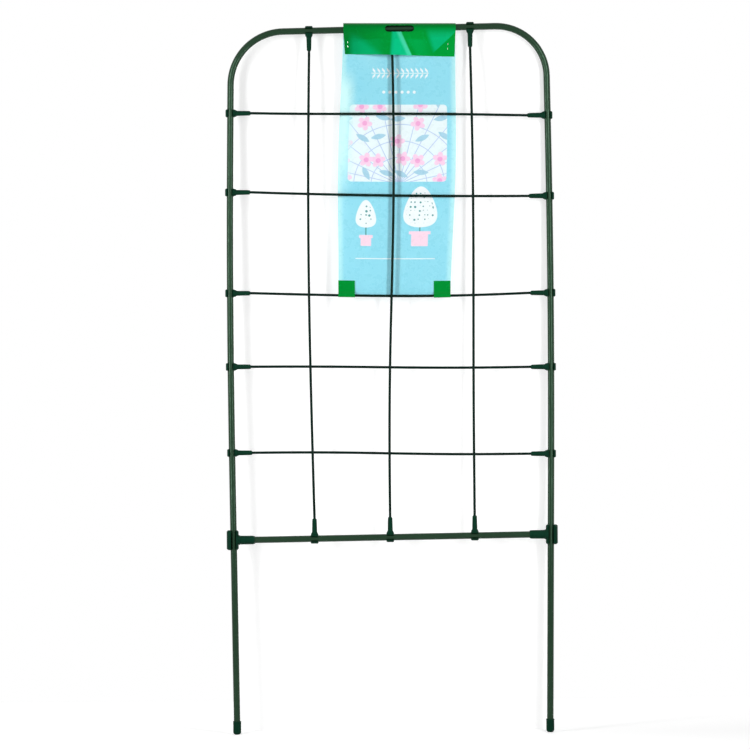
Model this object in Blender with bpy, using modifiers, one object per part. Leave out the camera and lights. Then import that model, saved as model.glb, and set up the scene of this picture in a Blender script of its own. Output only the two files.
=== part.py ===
"""Climbing plant trellis: a bent tube arch on two legs, filled with a grid of clip-on wires.

Metres, +Z up. The origin is on the ground, midway between the feet. -Y is the side that the
mouths of the clips and the folded header of the hang card face.
"""
import math

import bmesh
import bpy
from mathutils import Vector

# The arch: one plastic-coated steel tube, bent at two corners, its ends the legs. The legs are
# furthest apart near the lower rail and draw in towards the feet and the top
TUBE_DIAMETER = 0.0084
TUBE_WALL = 0.0009
LEG_SPACING = 0.4030
DRAW_IN_AT_FEET = 0.0054
DRAW_IN_AT_TOP = 0.0036
UPRIGHT_BOW = 0.0029
CORNER_RADIUS_LEFT = 0.0682
CORNER_RADIUS_RIGHT = 0.0643

# The rails: the lower one is a straight piece of the same tube between two large clips. Each
# height is at the middle, and each rise is from the left leg to the right
LOWER_RAIL_HEIGHT = 0.2492
LOWER_RAIL_RISE = 0.0048
GRID_HEIGHT = 0.6458
TOP_RAIL_RISE = 0.0070

# Foot caps, pushed over the ends of the legs
CAP_HEIGHT = 0.0169
CAP_WALL = 0.0008
CAP_FLOOR = 0.0035
CAP_DOME_HEIGHT = 0.0031
CAP_TIP_DIAMETER = 0.0032

# Large clips that hold the lower rail on the legs. The stem draws in from its root to its tip,
# and the reach is from the tube's centre line to the tip
RAIL_CLIP_JAW_LENGTH = 0.0250
RAIL_CLIP_JAW_CHAMFER = 0.0015
RAIL_CLIP_NEAR_WALL = 0.0019
RAIL_CLIP_FAR_WALL = 0.0044
RAIL_CLIP_MOUTH = 0.0066
RAIL_CLIP_REACH = 0.0270
RAIL_CLIP_SHOULDER_DIAMETER = 0.0132
RAIL_CLIP_SHOULDER_TAPER = 0.0020
RAIL_CLIP_STEM_DIAMETER = 0.0110
RAIL_CLIP_STEM_DRAFT = 0.0004
RAIL_CLIP_TIP_DIAMETER = 0.0098
RAIL_CLIP_TIP_TAPER = 0.0024
RAIL_CLIP_SOCKET_DEPTH = 0.0180

# Small clips, one on each end of each wire
WIRE_CLIP_JAW_LENGTH = 0.0098
WIRE_CLIP_JAW_CHAMFER = 0.0010
WIRE_CLIP_JAW_WALL = 0.0016
WIRE_CLIP_MOUTH = 0.0066
WIRE_CLIP_REACH = 0.0255
WIRE_CLIP_SHOULDER_DIAMETER = 0.0092
WIRE_CLIP_SHOULDER_TAPER = 0.0022
WIRE_CLIP_STEM_DIAMETER = 0.0059
WIRE_CLIP_STEM_DRAFT = 0.0007
WIRE_CLIP_TIP_DIAMETER = 0.0049
WIRE_CLIP_TIP_TAPER = 0.0016
WIRE_CLIP_SOCKET_DEPTH = 0.0150

# Wires. The two upper cross wires are placed below the top rail and the three lower ones above
# the lower rail, by both ends. A bow lifts a wire's middle, and a swing lifts its left half and
# drops its right
WIRE_DIAMETER = 0.0033
UPPER_DROPS_AT_LEFT = (0.1058, 0.2063)
UPPER_DROPS_AT_RIGHT = (0.1111, 0.2136)
LOWER_RISES_AT_LEFT = (0.3114, 0.2179, 0.1086)
LOWER_RISES_AT_RIGHT = (0.3090, 0.2150, 0.1047)
CROSS_WIRE_BOWS = (0.0007, -0.0016, -0.0037, -0.0006, -0.0002)
CROSS_WIRE_SWINGS = (-0.0005, 0.0, 0.0004, 0.0006, 0.0008)
# Upright wires are placed from the middle by both ends, and bend to the right
UPRIGHTS_AT_BOTTOM = (-0.0986, -0.0025, 0.1049)
UPRIGHTS_AT_TOP = (-0.1009, 0.0048, 0.1038)
UPRIGHT_WIRE_BOWS = (-0.0036, 0.0009, 0.0013)
UPRIGHT_WIRE_SWINGS = (0.0002, -0.0019, -0.0008)
# Where a wire leaves a clip, and how far on it has moved in front of the ones that it crosses
STRAIGHT_LEAD = 0.0020
LAYER_RUN = 0.0360

# Hang card: one plastic sheet folded over the top rail, its header stapled to the panel and
# its bottom corners turned up round the third cross wire. The header draws in to its free edge,
# and the panel's sides bow out between its two folds. The fold hangs on the higher end of the
# rail, so it is lower at the right. A drop is measured down from the fold's top at mid width
CARD_THICKNESS = 0.0004
CARD_WIDTH = 0.1426
CARD_SIDE_BOW = 0.0035
CARD_OFFSET = 0.0142
CARD_LEAN = 0.0090
FOLD_DROP = 0.0001
FOLD_FALL = 0.0012
FLAP_LENGTH = 0.0337
FLAP_DRAW_IN = 0.0036
FLAP_TILT = 0.0031
PINCH_DROP = 0.0212
BULGE_DEPTH = 0.0052
BULGE_HALF_WIDTH = 0.0550
RUN_BACK_DROP = 0.0358
RUN_BACK_LENGTH = 0.0400
TAB_WIDTH = 0.0211
TAB_LENGTH = 0.0190
TAB_RETURN = 0.0070
SLOT_LENGTH = 0.0369
SLOT_WIDTH = 0.0080
SLOT_DROP = 0.0076

# Staples: each one is placed from its side of the header and down from the fold
STAPLE_WIRE = 0.0006
STAPLE_SPAN = 0.0072
STAPLE_CLINCH = 0.0018
LEFT_STAPLE_INSET = 0.0054
LEFT_STAPLE_DROP = 0.0263
RIGHT_STAPLE_INSET = 0.0102
RIGHT_STAPLE_DROP = 0.0299

# Clearances
TOUCH_GAP = 0.0003
SOCKET_PLAY = 0.0002
TUBE_PLAY = 0.0003
SLIDE_PLAY = 0.0005
CROSSING_GAP = 0.0004

# Facets
ARCH_SIDES = 12
TURNED_STEPS = 16
JAW_SIDES = 20
WIRE_SIDES = 8

LEFT = -1
RIGHT = 1

top_rail = LOWER_RAIL_HEIGHT + GRID_HEIGHT
tube_radius = TUBE_DIAMETER / 2
wire_radius = WIRE_DIAMETER / 2
layer_offset = (WIRE_DIAMETER + CROSSING_GAP) / 2


for old in list(bpy.data.objects):
    bpy.data.objects.remove(old, do_unlink=True)

parts = bpy.data.collections.new("climbing_plant_trellis")
cutters = bpy.data.collections.new("cutters")
bpy.context.scene.collection.children.link(parts)
bpy.context.scene.collection.children.link(cutters)


def make_material(name, colour, roughness, metallic=0.0):
    """A plain Principled material in the part's own colour."""
    material = bpy.data.materials.new(name)
    material.use_nodes = True
    shader = material.node_tree.nodes["Principled BSDF"]
    shader.inputs["Base Color"].default_value = (*colour, 1.0)
    shader.inputs["Roughness"].default_value = roughness
    shader.inputs["Metallic"].default_value = metallic
    material.diffuse_color = (*colour, 1.0)
    return material


def around(radius, sides):
    """Corner radius of a faceted circle whose flats stay at the given radius."""
    return radius / math.cos(math.pi / sides)


def smooth(share):
    """Ease from 0 to 1 with level ends, for a share held between 0 and 1."""
    share = min(max(share, 0.0), 1.0)
    return share * share * (3.0 - 2.0 * share)


def mix(start, end, share):
    return start + (end - start) * share


def add_object(name, data, collection=parts, parent=None, at=(0, 0, 0), turn=0.0):
    """Link an object, turned about Y so that a clip's stem points where it should."""
    item = bpy.data.objects.new(name, data)
    item.location = at
    item.rotation_euler = (0.0, turn, 0.0)
    item.parent = parent
    collection.objects.link(item)
    return item


def add_part(name, mesh, material, parent=None, at=(0, 0, 0), turn=0.0):
    """Link a finished sub-part, smooth where it is round."""
    if not mesh.materials:
        mesh.materials.append(material)
    mesh.shade_smooth()
    mesh.set_sharp_from_angle(angle=math.radians(35))
    return add_object(name, mesh, parts, parent, at, turn)


def as_cutter(item):
    item.hide_render = True
    item.display_type = "WIRE"
    return item


def evaluated_mesh(item, name):
    """The mesh of an object with its curve bevel and modifiers applied."""
    bpy.context.view_layer.update()
    graph = bpy.context.evaluated_depsgraph_get()
    mesh = bpy.data.meshes.new_from_object(item.evaluated_get(graph))
    mesh.name = name
    return mesh


def weld(mesh, distance=0.00001):
    """Join the loose caps that a curve leaves on its ends."""
    shape = bmesh.new()
    shape.from_mesh(mesh)
    bmesh.ops.remove_doubles(shape, verts=shape.verts, dist=distance)
    shape.to_mesh(mesh)
    shape.free()
    return mesh


def swept_mesh(name, points, diameter, sides, capped=True):
    """A round bar along a line of points, closed at its ends or left open for a wall."""
    curve = bpy.data.curves.new(name, "CURVE")
    curve.dimensions = "3D"
    curve.bevel_depth = diameter / 2
    curve.bevel_resolution = sides // 2 - 2
    curve.use_fill_caps = capped
    line = curve.splines.new("POLY")
    line.points.add(len(points) - 1)
    for spot, point in zip(line.points, points):
        spot.co = (*point, 1.0)
    item = add_object(name + "_curve", curve, cutters)
    mesh = weld(evaluated_mesh(item, name))
    bpy.data.objects.remove(item, do_unlink=True)
    return mesh


def outline_mesh(name, outline, depth):
    """A flat outline in X and Y, made solid to the given depth along Z."""
    curve = bpy.data.curves.new(name, "CURVE")
    curve.dimensions = "2D"
    curve.fill_mode = "BOTH"
    curve.extrude = depth / 2
    line = curve.splines.new("POLY")
    line.points.add(len(outline) - 1)
    for spot, (across, up) in zip(line.points, outline):
        spot.co = (across, up, 0.0, 1.0)
    line.use_cyclic_u = True
    item = add_object(name + "_curve", curve, cutters)
    mesh = weld(evaluated_mesh(item, name))
    bpy.data.objects.remove(item, do_unlink=True)
    return mesh


def turned_mesh(name, profile, steps=TURNED_STEPS):
    """A turned shape: a profile of radius and height, swept once round Z."""
    mesh = bpy.data.meshes.new(name)
    points = [(radius, 0.0, height) for radius, height in profile]
    edges = [(start, start + 1) for start in range(len(profile) - 1)]
    mesh.from_pydata(points, edges, [])
    item = add_object(name + "_profile", mesh, cutters)
    screw = item.modifiers.new("turn", "SCREW")
    screw.axis = "Z"
    screw.steps = steps
    screw.render_steps = steps
    screw.use_merge_vertices = True
    screw.merge_threshold = 0.00001
    result = weld(evaluated_mesh(item, name))
    bpy.data.objects.remove(item, do_unlink=True)
    return result


def cylinder_mesh(name, radius, length, sides):
    """A cylinder along Z, centred on the origin."""
    mesh = bpy.data.meshes.new(name)
    shape = bmesh.new()
    bmesh.ops.create_cone(shape, cap_ends=True, segments=sides, radius1=radius, radius2=radius, depth=length)
    shape.to_mesh(mesh)
    shape.free()
    return mesh


def box_mesh(name, size):
    mesh = bpy.data.meshes.new(name)
    shape = bmesh.new()
    bmesh.ops.create_cube(shape, size=1.0)
    bmesh.ops.scale(shape, vec=size, verts=shape.verts)
    shape.to_mesh(mesh)
    shape.free()
    return mesh


def boolean(item, tool, operation):
    """Join or cut an object with another, which stays in the file as a hidden guide."""
    step = item.modifiers.new(tool.name, "BOOLEAN")
    step.operation = operation
    step.solver = "EXACT"
    step.object = tool


def half_spacing(height):
    """Half the distance between the legs' centre lines at a height."""
    if height < LOWER_RAIL_HEIGHT:
        return (LEG_SPACING - DRAW_IN_AT_FEET * (1 - height / LOWER_RAIL_HEIGHT)) / 2
    share = (height - LOWER_RAIL_HEIGHT) / GRID_HEIGHT
    return (LEG_SPACING - DRAW_IN_AT_TOP * share) / 2 + UPRIGHT_BOW * math.sin(math.pi * share)


def on_upright(side, height):
    return Vector((side * half_spacing(height), 0.0, height))


def top_rail_height(across):
    return top_rail + TOP_RAIL_RISE * across / (LEG_SPACING - DRAW_IN_AT_TOP)


def lower_rail_height(across):
    return LOWER_RAIL_HEIGHT + LOWER_RAIL_RISE * across / LEG_SPACING


# Materials

tube_coat = make_material("tube_coat", (0.030, 0.095, 0.055), 0.38)
wire_coat = make_material("wire_coat", (0.008, 0.040, 0.026), 0.40)
clip_plastic = make_material("clip_plastic", (0.008, 0.060, 0.030), 0.45)
card_sheet = make_material("card_sheet", (0.30, 0.78, 0.87), 0.25)
staple_steel = make_material("staple_steel", (0.75, 0.76, 0.74), 0.25, 1.0)


# Arch tube

def corner_bend(before, corner, after, radius, steps=8):
    """Points of a round bend that leaves one straight run and joins the next."""
    heading = (corner - before).normalized()
    leaving = (after - corner).normalized()
    turn = heading.angle(leaving)
    inward = (leaving - heading * math.cos(turn)) / math.sin(turn)
    start = corner - heading * radius * math.tan(turn / 2)
    bend = []
    for step in range(steps + 1):
        angle = turn * step / steps
        bend.append(start + heading * radius * math.sin(angle) + inward * radius * (1 - math.cos(angle)))
    return bend


def arch_points(steps=14):
    """Centre line of the arch, up the left leg, over the top and down the right leg."""
    tube_end = CAP_FLOOR + TOUCH_GAP
    corners = {}
    for side in (LEFT, RIGHT):
        across = side * half_spacing(top_rail)
        corners[side] = Vector((across, 0.0, top_rail_height(across)))
    legs = {}
    for side, radius in ((LEFT, CORNER_RADIUS_LEFT), (RIGHT, CORNER_RADIUS_RIGHT)):
        leg_top = corners[side].z - radius
        leg = []
        for step in range(steps + 1):
            leg.append(on_upright(side, mix(tube_end, leg_top, step / steps)))
        bend = corner_bend(leg[-1], corners[side], corners[-side], radius)
        legs[side] = leg[:-1] + bend
    return legs[LEFT] + legs[RIGHT][::-1]


def make_arch_tube():
    """The tube is an open skin along the centre line, given its wall inwards."""
    mesh = swept_mesh("arch_tube", arch_points(), TUBE_DIAMETER, ARCH_SIDES, capped=False)
    tube = add_part("arch_tube", mesh, tube_coat)
    wall = tube.modifiers.new("wall", "SOLIDIFY")
    wall.thickness = TUBE_WALL
    wall.offset = -1.0
    wall.use_even_offset = True


# Foot caps

def make_foot_cap_mesh():
    """A turned cap with a blind bore for the leg and a low dome with a small flat tip."""
    bore = around(tube_radius + TUBE_PLAY, TURNED_STEPS)
    outside = tube_radius + TUBE_PLAY + CAP_WALL
    tip = CAP_TIP_DIAMETER / 2
    profile = [(0.0, CAP_FLOOR), (bore, CAP_FLOOR), (bore, CAP_HEIGHT)]
    rim = CAP_WALL / 3
    profile += [(outside - rim, CAP_HEIGHT), (outside, CAP_HEIGHT - rim)]
    dome_steps = 4
    for step in range(dome_steps + 1):
        angle = math.pi / 2 * step / dome_steps
        profile.append((mix(tip, outside, math.cos(angle)), CAP_DOME_HEIGHT * (1 - math.sin(angle))))
    profile.append((0.0, 0.0))
    return turned_mesh("foot_cap", profile)


def make_foot_caps():
    mesh = make_foot_cap_mesh()
    for side, word in ((LEFT, "left"), (RIGHT, "right")):
        middle = (CAP_FLOOR + CAP_HEIGHT) / 2
        add_part("foot_cap_" + word, mesh, clip_plastic, at=(side * half_spacing(middle), 0.0, 0.0))


# Clips

def make_clip_mesh(name, play, near_wall, far_wall, jaw_length, jaw_chamfer, mouth, reach,
                   shoulder_diameter, shoulder_taper, stem_diameter, stem_draft,
                   tip_diameter, tip_taper, socket_radius, socket_depth):
    """A snap clip: a C-shaped jaw round a tube along Z, open to -Y, and a socketed stem along +X."""
    bore = tube_radius + play
    jaw_radius = bore + (near_wall + far_wall) / 2
    half_jaw = jaw_length / 2
    barrel = [
        (0.0, half_jaw),
        (jaw_radius - jaw_chamfer, half_jaw),
        (jaw_radius, half_jaw - jaw_chamfer),
        (jaw_radius, jaw_chamfer - half_jaw),
        (jaw_radius - jaw_chamfer, -half_jaw),
        (0.0, -half_jaw),
    ]
    jaw = add_object(name, turned_mesh(name, barrel, JAW_SIDES), cutters)
    jaw.location.x = (near_wall - far_wall) / 2

    shoulder = bore + near_wall
    profile = [
        (0.0, reach),
        (tip_diameter / 2, reach),
        (stem_diameter / 2, reach - tip_taper),
        (stem_diameter / 2 + stem_draft / 2, shoulder + shoulder_taper),
        (shoulder_diameter / 2, shoulder),
        (shoulder_diameter / 2, bore / 2),
        (0.0, bore / 2),
    ]
    stem = as_cutter(add_object(name + "_stem", turned_mesh(name + "_stem", profile), cutters))
    stem.rotation_euler.y = math.pi / 2

    tube_way = cylinder_mesh(name + "_bore", around(bore, TURNED_STEPS), jaw_length * 3, TURNED_STEPS)
    tube_way = as_cutter(add_object(name + "_bore", tube_way, cutters))

    mouth_depth = jaw_radius * 2
    slot = box_mesh(name + "_mouth", (mouth, mouth_depth, jaw_length * 3))
    slot = as_cutter(add_object(name + "_mouth", slot, cutters, at=(0.0, -mouth_depth / 2, 0.0)))

    overshoot = tip_taper
    socket = cylinder_mesh(name + "_socket", around(socket_radius, TURNED_STEPS),
                           socket_depth + overshoot, TURNED_STEPS)
    middle = reach - (socket_depth - overshoot) / 2
    socket = as_cutter(add_object(name + "_socket", socket, cutters, at=(middle, 0.0, 0.0), turn=math.pi / 2))

    boolean(jaw, stem, "UNION")
    boolean(jaw, tube_way, "DIFFERENCE")
    boolean(jaw, slot, "DIFFERENCE")
    boolean(jaw, socket, "DIFFERENCE")
    mesh = evaluated_mesh(jaw, name)
    mesh.transform(jaw.matrix_world)
    bpy.data.objects.remove(jaw, do_unlink=True)
    return mesh


def make_rail_clips():
    """The large clips stand square on the legs, each at the height of the rail's end."""
    mesh = make_clip_mesh(
        "rail_clip", TUBE_PLAY, RAIL_CLIP_NEAR_WALL, RAIL_CLIP_FAR_WALL, RAIL_CLIP_JAW_LENGTH,
        RAIL_CLIP_JAW_CHAMFER, RAIL_CLIP_MOUTH, RAIL_CLIP_REACH, RAIL_CLIP_SHOULDER_DIAMETER,
        RAIL_CLIP_SHOULDER_TAPER, RAIL_CLIP_STEM_DIAMETER, RAIL_CLIP_STEM_DRAFT,
        RAIL_CLIP_TIP_DIAMETER, RAIL_CLIP_TIP_TAPER, tube_radius + TUBE_PLAY, RAIL_CLIP_SOCKET_DEPTH)
    for side, word in ((LEFT, "left"), (RIGHT, "right")):
        height = rail_clip_height(side)
        turn = 0.0 if side == LEFT else math.pi
        add_part("rail_clip_" + word, mesh, clip_plastic, at=on_upright(side, height), turn=turn)


def rail_clip_height(side):
    """Height at which the rail passes the middle of the clip's socket."""
    leg = half_spacing(LOWER_RAIL_HEIGHT)
    return lower_rail_height(side * (leg - RAIL_CLIP_REACH + RAIL_CLIP_SOCKET_DEPTH / 2))


def make_lower_rail():
    ends = []
    for side in (LEFT, RIGHT):
        leg = half_spacing(rail_clip_height(side))
        across = side * (leg - RAIL_CLIP_REACH + RAIL_CLIP_SOCKET_DEPTH - TOUCH_GAP)
        ends.append(Vector((across, 0.0, lower_rail_height(across))))
    mesh = swept_mesh("lower_rail", ends, TUBE_DIAMETER, ARCH_SIDES, capped=False)
    rail = add_part("lower_rail", mesh, tube_coat)
    wall = rail.modifiers.new("wall", "SOLIDIFY")
    wall.thickness = TUBE_WALL
    wall.offset = -1.0


# Wires, each with a clip on both ends

def listed_cross_wires():
    """The cross wires from the top down: the height of each end, the bow and the swing."""
    left = [top_rail - drop for drop in UPPER_DROPS_AT_LEFT]
    left += [LOWER_RAIL_HEIGHT + rise for rise in LOWER_RISES_AT_LEFT]
    right = [top_rail - drop for drop in UPPER_DROPS_AT_RIGHT]
    right += [LOWER_RAIL_HEIGHT + rise for rise in LOWER_RISES_AT_RIGHT]
    return list(zip(left, right, CROSS_WIRE_BOWS, CROSS_WIRE_SWINGS))


cross_wires = listed_cross_wires()
card_wire = cross_wires[len(UPPER_DROPS_AT_LEFT)]
upright_wires = list(zip(UPRIGHTS_AT_BOTTOM, UPRIGHTS_AT_TOP, UPRIGHT_WIRE_BOWS, UPRIGHT_WIRE_SWINGS))
middle_upright_top = UPRIGHTS_AT_TOP[len(UPRIGHTS_AT_TOP) // 2]


def wire_points(start, start_stem, end, end_stem, bend_towards, bow, swing, layer, steps=14):
    """Centre line of a wire, straight inside both sockets and bent gently between them.

    It leaves the frame's own plane for its layer, in front of or behind the wires it crosses.
    """
    inside = WIRE_CLIP_REACH - WIRE_CLIP_SOCKET_DEPTH + TOUCH_GAP
    outside = WIRE_CLIP_REACH + STRAIGHT_LEAD
    first = start + start_stem * outside
    last = end + end_stem * outside
    length = (last - first).length
    points = [start + start_stem * inside]
    for step in range(steps + 1):
        share = step / steps
        bend = bow * math.sin(math.pi * share) + swing * math.sin(2 * math.pi * share)
        nearest_mouth = min(share, 1 - share) * length
        depth = layer * smooth(nearest_mouth / LAYER_RUN)
        points.append(first.lerp(last, share) + bend_towards * bend + Vector((0.0, depth, 0.0)))
    points.append(end + end_stem * inside)
    return points


def cross_wire_height(wire, across):
    """Height of a cross wire's centre line at a place across the width."""
    left, right, bow, swing = wire
    outside = WIRE_CLIP_REACH + STRAIGHT_LEAD
    first = outside - half_spacing(left)
    last = half_spacing(right) - outside
    share = (across - first) / (last - first)
    return mix(left, right, share) + bow * math.sin(math.pi * share) + swing * math.sin(2 * math.pi * share)


def make_wire_clip_mesh():
    return make_clip_mesh(
        "wire_clip", SLIDE_PLAY, WIRE_CLIP_JAW_WALL, WIRE_CLIP_JAW_WALL, WIRE_CLIP_JAW_LENGTH,
        WIRE_CLIP_JAW_CHAMFER, WIRE_CLIP_MOUTH, WIRE_CLIP_REACH, WIRE_CLIP_SHOULDER_DIAMETER,
        WIRE_CLIP_SHOULDER_TAPER, WIRE_CLIP_STEM_DIAMETER, WIRE_CLIP_STEM_DRAFT,
        WIRE_CLIP_TIP_DIAMETER, WIRE_CLIP_TIP_TAPER, wire_radius + SOCKET_PLAY, WIRE_CLIP_SOCKET_DEPTH)


def make_wire(name, clip_mesh, start, end, start_word, end_word, bend_towards, bow, swing, layer):
    """One wire and its two clips, parented to an empty on the clip that it slides with."""
    along = (end - start).normalized()
    level = abs(along.x) > abs(along.z)
    start_stem = Vector((1.0, 0.0, 0.0)) if level else Vector((0.0, 0.0, 1.0))
    points = wire_points(start, start_stem, end, -start_stem, bend_towards, bow, swing, layer)
    slider = add_object(name + "_slider", None, parts, at=start)
    mesh = swept_mesh(name, [point - start for point in points], WIRE_DIAMETER, WIRE_SIDES)
    add_part(name, mesh, wire_coat, slider)
    start_turn = 0.0 if level else -math.pi / 2
    end_turn = math.pi if level else math.pi / 2
    add_part(name + "_clip_" + start_word, clip_mesh, clip_plastic, slider, turn=start_turn)
    add_part(name + "_clip_" + end_word, clip_mesh, clip_plastic, slider, at=end - start, turn=end_turn)


def make_cross_wires(clip_mesh):
    """Cross wires slide up and down on the legs and lie behind the upright wires."""
    upward = Vector((0.0, 0.0, 1.0))
    for number, (left, right, bow, swing) in enumerate(cross_wires, start=1):
        make_wire(f"cross_wire_{number}", clip_mesh, on_upright(LEFT, left), on_upright(RIGHT, right),
                  "left", "right", upward, bow, swing, layer_offset)


def make_upright_wires(clip_mesh):
    """Upright wires slide sideways on the two rails and lie in front of the cross wires."""
    sideways = Vector((1.0, 0.0, 0.0))
    for number, (bottom, top, bow, swing) in enumerate(upright_wires, start=1):
        start = Vector((bottom, 0.0, lower_rail_height(bottom)))
        end = Vector((top, 0.0, top_rail_height(top)))
        make_wire(f"upright_wire_{number}", clip_mesh, start, end,
                  "bottom", "top", sideways, bow, swing, -layer_offset)


# Hang card

half_sheet = CARD_THICKNESS / 2
panel_layer = layer_offset + wire_radius + TOUCH_GAP + half_sheet
pinch_gap = (TOUCH_GAP + CARD_THICKNESS) / 2
wire_clip_radius = tube_radius + SLIDE_PLAY + WIRE_CLIP_JAW_WALL
fold_radius = wire_clip_radius + 2 * TOUCH_GAP + half_sheet
fold_centre = top_rail - FOLD_DROP
fold_top = fold_centre + fold_radius
fold_length = math.pi * fold_radius
panel_length = fold_centre - cross_wire_height(card_wire, CARD_OFFSET)
wrap_radius = panel_layer - layer_offset
wrap_length = math.pi * wrap_radius
staple_places = (
    ("left", CARD_OFFSET - CARD_WIDTH / 2 + LEFT_STAPLE_INSET, LEFT_STAPLE_DROP),
    ("right", CARD_OFFSET + CARD_WIDTH / 2 - RIGHT_STAPLE_INSET, RIGHT_STAPLE_DROP),
)


def pouch_depth(across, drop):
    """How far the header or the panel stands from the frame's plane, below the fold's centre.

    The sheet closes from the fold to the staples, but stays open round the middle wire's clip.
    """
    aside = min(abs(across - middle_upright_top) / BULGE_HALF_WIDTH, 1.0)
    open_share = math.cos(math.pi / 2 * aside) ** 2
    closed = mix(pinch_gap, BULGE_DEPTH, open_share)
    return mix(fold_radius, closed, smooth(drop / (PINCH_DROP - fold_radius)))


def card_point(across_share, along):
    """A point of the sheet's middle surface.

    across_share runs from -1 to 1 over the width. along is the length of sheet from the
    header's lower edge, over the fold, down the panel and round the wire.
    """
    fold_height = fold_centre - across_share * FOLD_FALL / 2
    if along < FLAP_LENGTH:
        width = CARD_WIDTH - FLAP_DRAW_IN * (1 - along / FLAP_LENGTH)
        across = CARD_OFFSET + across_share * width / 2
        drop = (FLAP_LENGTH - along) * (1 + across_share * FLAP_TILT / 2 / FLAP_LENGTH)
        return Vector((across, -pouch_depth(across, drop), fold_height - drop))
    along -= FLAP_LENGTH
    if along < fold_length:
        across = CARD_OFFSET + across_share * CARD_WIDTH / 2
        angle = along / fold_radius
        return Vector((across, -fold_radius * math.cos(angle), fold_height + fold_radius * math.sin(angle)))
    along -= fold_length
    share = min(along / panel_length, 1.0)
    width = CARD_WIDTH + 2 * CARD_SIDE_BOW * math.sin(math.pi * share) ** 2
    across = CARD_OFFSET + across_share * width / 2 - CARD_LEAN * share
    bottom = cross_wire_height(card_wire, across)
    if along <= panel_length:
        height = mix(fold_height, bottom, share)
        run_back = smooth((fold_top - RUN_BACK_DROP - height) / RUN_BACK_LENGTH)
        depth = mix(pouch_depth(across, fold_height - height), panel_layer, run_back)
        return Vector((across, depth, height))
    along -= panel_length
    if along < wrap_length:
        angle = along / wrap_radius
        return Vector((across, layer_offset + wrap_radius * math.cos(angle), bottom - wrap_radius * math.sin(angle)))
    along -= wrap_length
    tab_layer = panel_layer - CARD_THICKNESS - TOUCH_GAP
    depth = mix(layer_offset - wrap_radius, tab_layer, smooth(along / TAB_RETURN))
    return Vector((across, depth, bottom + along))


def card_rows():
    """Lengths along the sheet at which it has a row of corners, closer where it bends."""
    rows = [FLAP_LENGTH * step / 6 for step in range(6)]
    rows += [FLAP_LENGTH + fold_length * step / 8 for step in range(8)]
    panel_start = FLAP_LENGTH + fold_length
    pouch_end = RUN_BACK_DROP + RUN_BACK_LENGTH - fold_radius
    rows += [panel_start + pouch_end * step / 10 for step in range(10)]
    rows += [panel_start + mix(pouch_end, panel_length, step / 6) for step in range(6)]
    tab_start = panel_start + panel_length
    rows += [tab_start + wrap_length * step / 6 for step in range(6)]
    front_start = tab_start + wrap_length
    rows += [front_start + TAB_RETURN * step / 4 for step in range(4)]
    rows += [front_start + TAB_RETURN, front_start + TAB_LENGTH]
    return rows, tab_start


def card_columns():
    """Places across the sheet, with an edge of each corner tab on one of them."""
    tab_edge = 1.0 - 2.0 * TAB_WIDTH / CARD_WIDTH
    tab_middle = (1.0 + tab_edge) / 2
    inner = [mix(-tab_edge, tab_edge, step / 10) for step in range(11)]
    return [-1.0, -tab_middle] + inner + [tab_middle, 1.0], tab_edge


def make_card_surface():
    """A grid laid on the folded sheet, with only the two tabs left below the panel."""
    rows, tab_start = card_rows()
    columns, tab_edge = card_columns()
    shape = bmesh.new()
    bmesh.ops.create_grid(shape, x_segments=len(columns) - 1, y_segments=len(rows) - 1, size=1.0)
    places = {}
    for vert in shape.verts:
        column = round((vert.co.x + 1) / 2 * (len(columns) - 1))
        row = round((vert.co.y + 1) / 2 * (len(rows) - 1))
        places[vert] = (columns[column], rows[row])
        vert.co = card_point(*places[vert])
    spare = []
    for face in shape.faces:
        below_panel = sum(places[vert][1] for vert in face.verts) / 4 > tab_start
        between_tabs = abs(sum(places[vert][0] for vert in face.verts) / 4) < tab_edge
        if below_panel and between_tabs:
            spare.append(face)
    bmesh.ops.delete(shape, geom=spare, context="FACES")
    mesh = bpy.data.meshes.new("hang_card")
    shape.to_mesh(mesh)
    shape.free()
    return mesh


def slot_outline(steps=6):
    """A slot with round ends, in X and Z about its own centre."""
    radius = SLOT_WIDTH / 2
    outline = []
    for end in (RIGHT, LEFT):
        for step in range(steps + 1):
            angle = math.pi * (step / steps - 0.5)
            across = end * (SLOT_LENGTH / 2 - radius + radius * math.cos(angle))
            outline.append((across, end * radius * math.sin(angle)))
    return outline


def make_hang_card():
    card = add_part("hang_card", make_card_surface(), card_sheet)
    sheet = card.modifiers.new("sheet", "SOLIDIFY")
    sheet.thickness = CARD_THICKNESS
    sheet.offset = 0.0
    sheet.use_even_offset = True

    reach_through = 4 * fold_radius
    slot = add_object("hang_slot", outline_mesh("hang_slot", slot_outline(), reach_through), cutters)
    slot.location = (CARD_OFFSET, 0.0, fold_top - SLOT_DROP)
    slot.rotation_euler.x = math.pi / 2
    boolean(card, as_cutter(slot), "DIFFERENCE")

    hole = STAPLE_WIRE + 2 * TOUCH_GAP
    for word, across, drop in staple_places:
        for end in (-1, 1):
            name = f"staple_hole_{word}_{'low' if end < 0 else 'high'}"
            punch = box_mesh(name, (hole, reach_through, hole))
            at = (across, 0.0, fold_top - drop + end * STAPLE_SPAN / 2)
            boolean(card, as_cutter(add_object(name, punch, cutters, at=at)), "DIFFERENCE")


def make_staples():
    """Each staple's crown is behind the panel, and its clinched ends are on the header."""
    for word, across, drop in staple_places:
        stand_off = pouch_depth(across, drop - fold_radius) + half_sheet + TOUCH_GAP + STAPLE_WIRE / 2
        leg = STAPLE_SPAN / 2
        points = [
            (0.0, -stand_off, leg - STAPLE_CLINCH),
            (0.0, -stand_off, leg),
            (0.0, stand_off, leg),
            (0.0, stand_off, -leg),
            (0.0, -stand_off, -leg),
            (0.0, -stand_off, STAPLE_CLINCH - leg),
        ]
        mesh = swept_mesh("staple_" + word, points, STAPLE_WIRE, WIRE_SIDES)
        add_part("staple_" + word, mesh, staple_steel, at=(across, 0.0, fold_top - drop))


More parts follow.
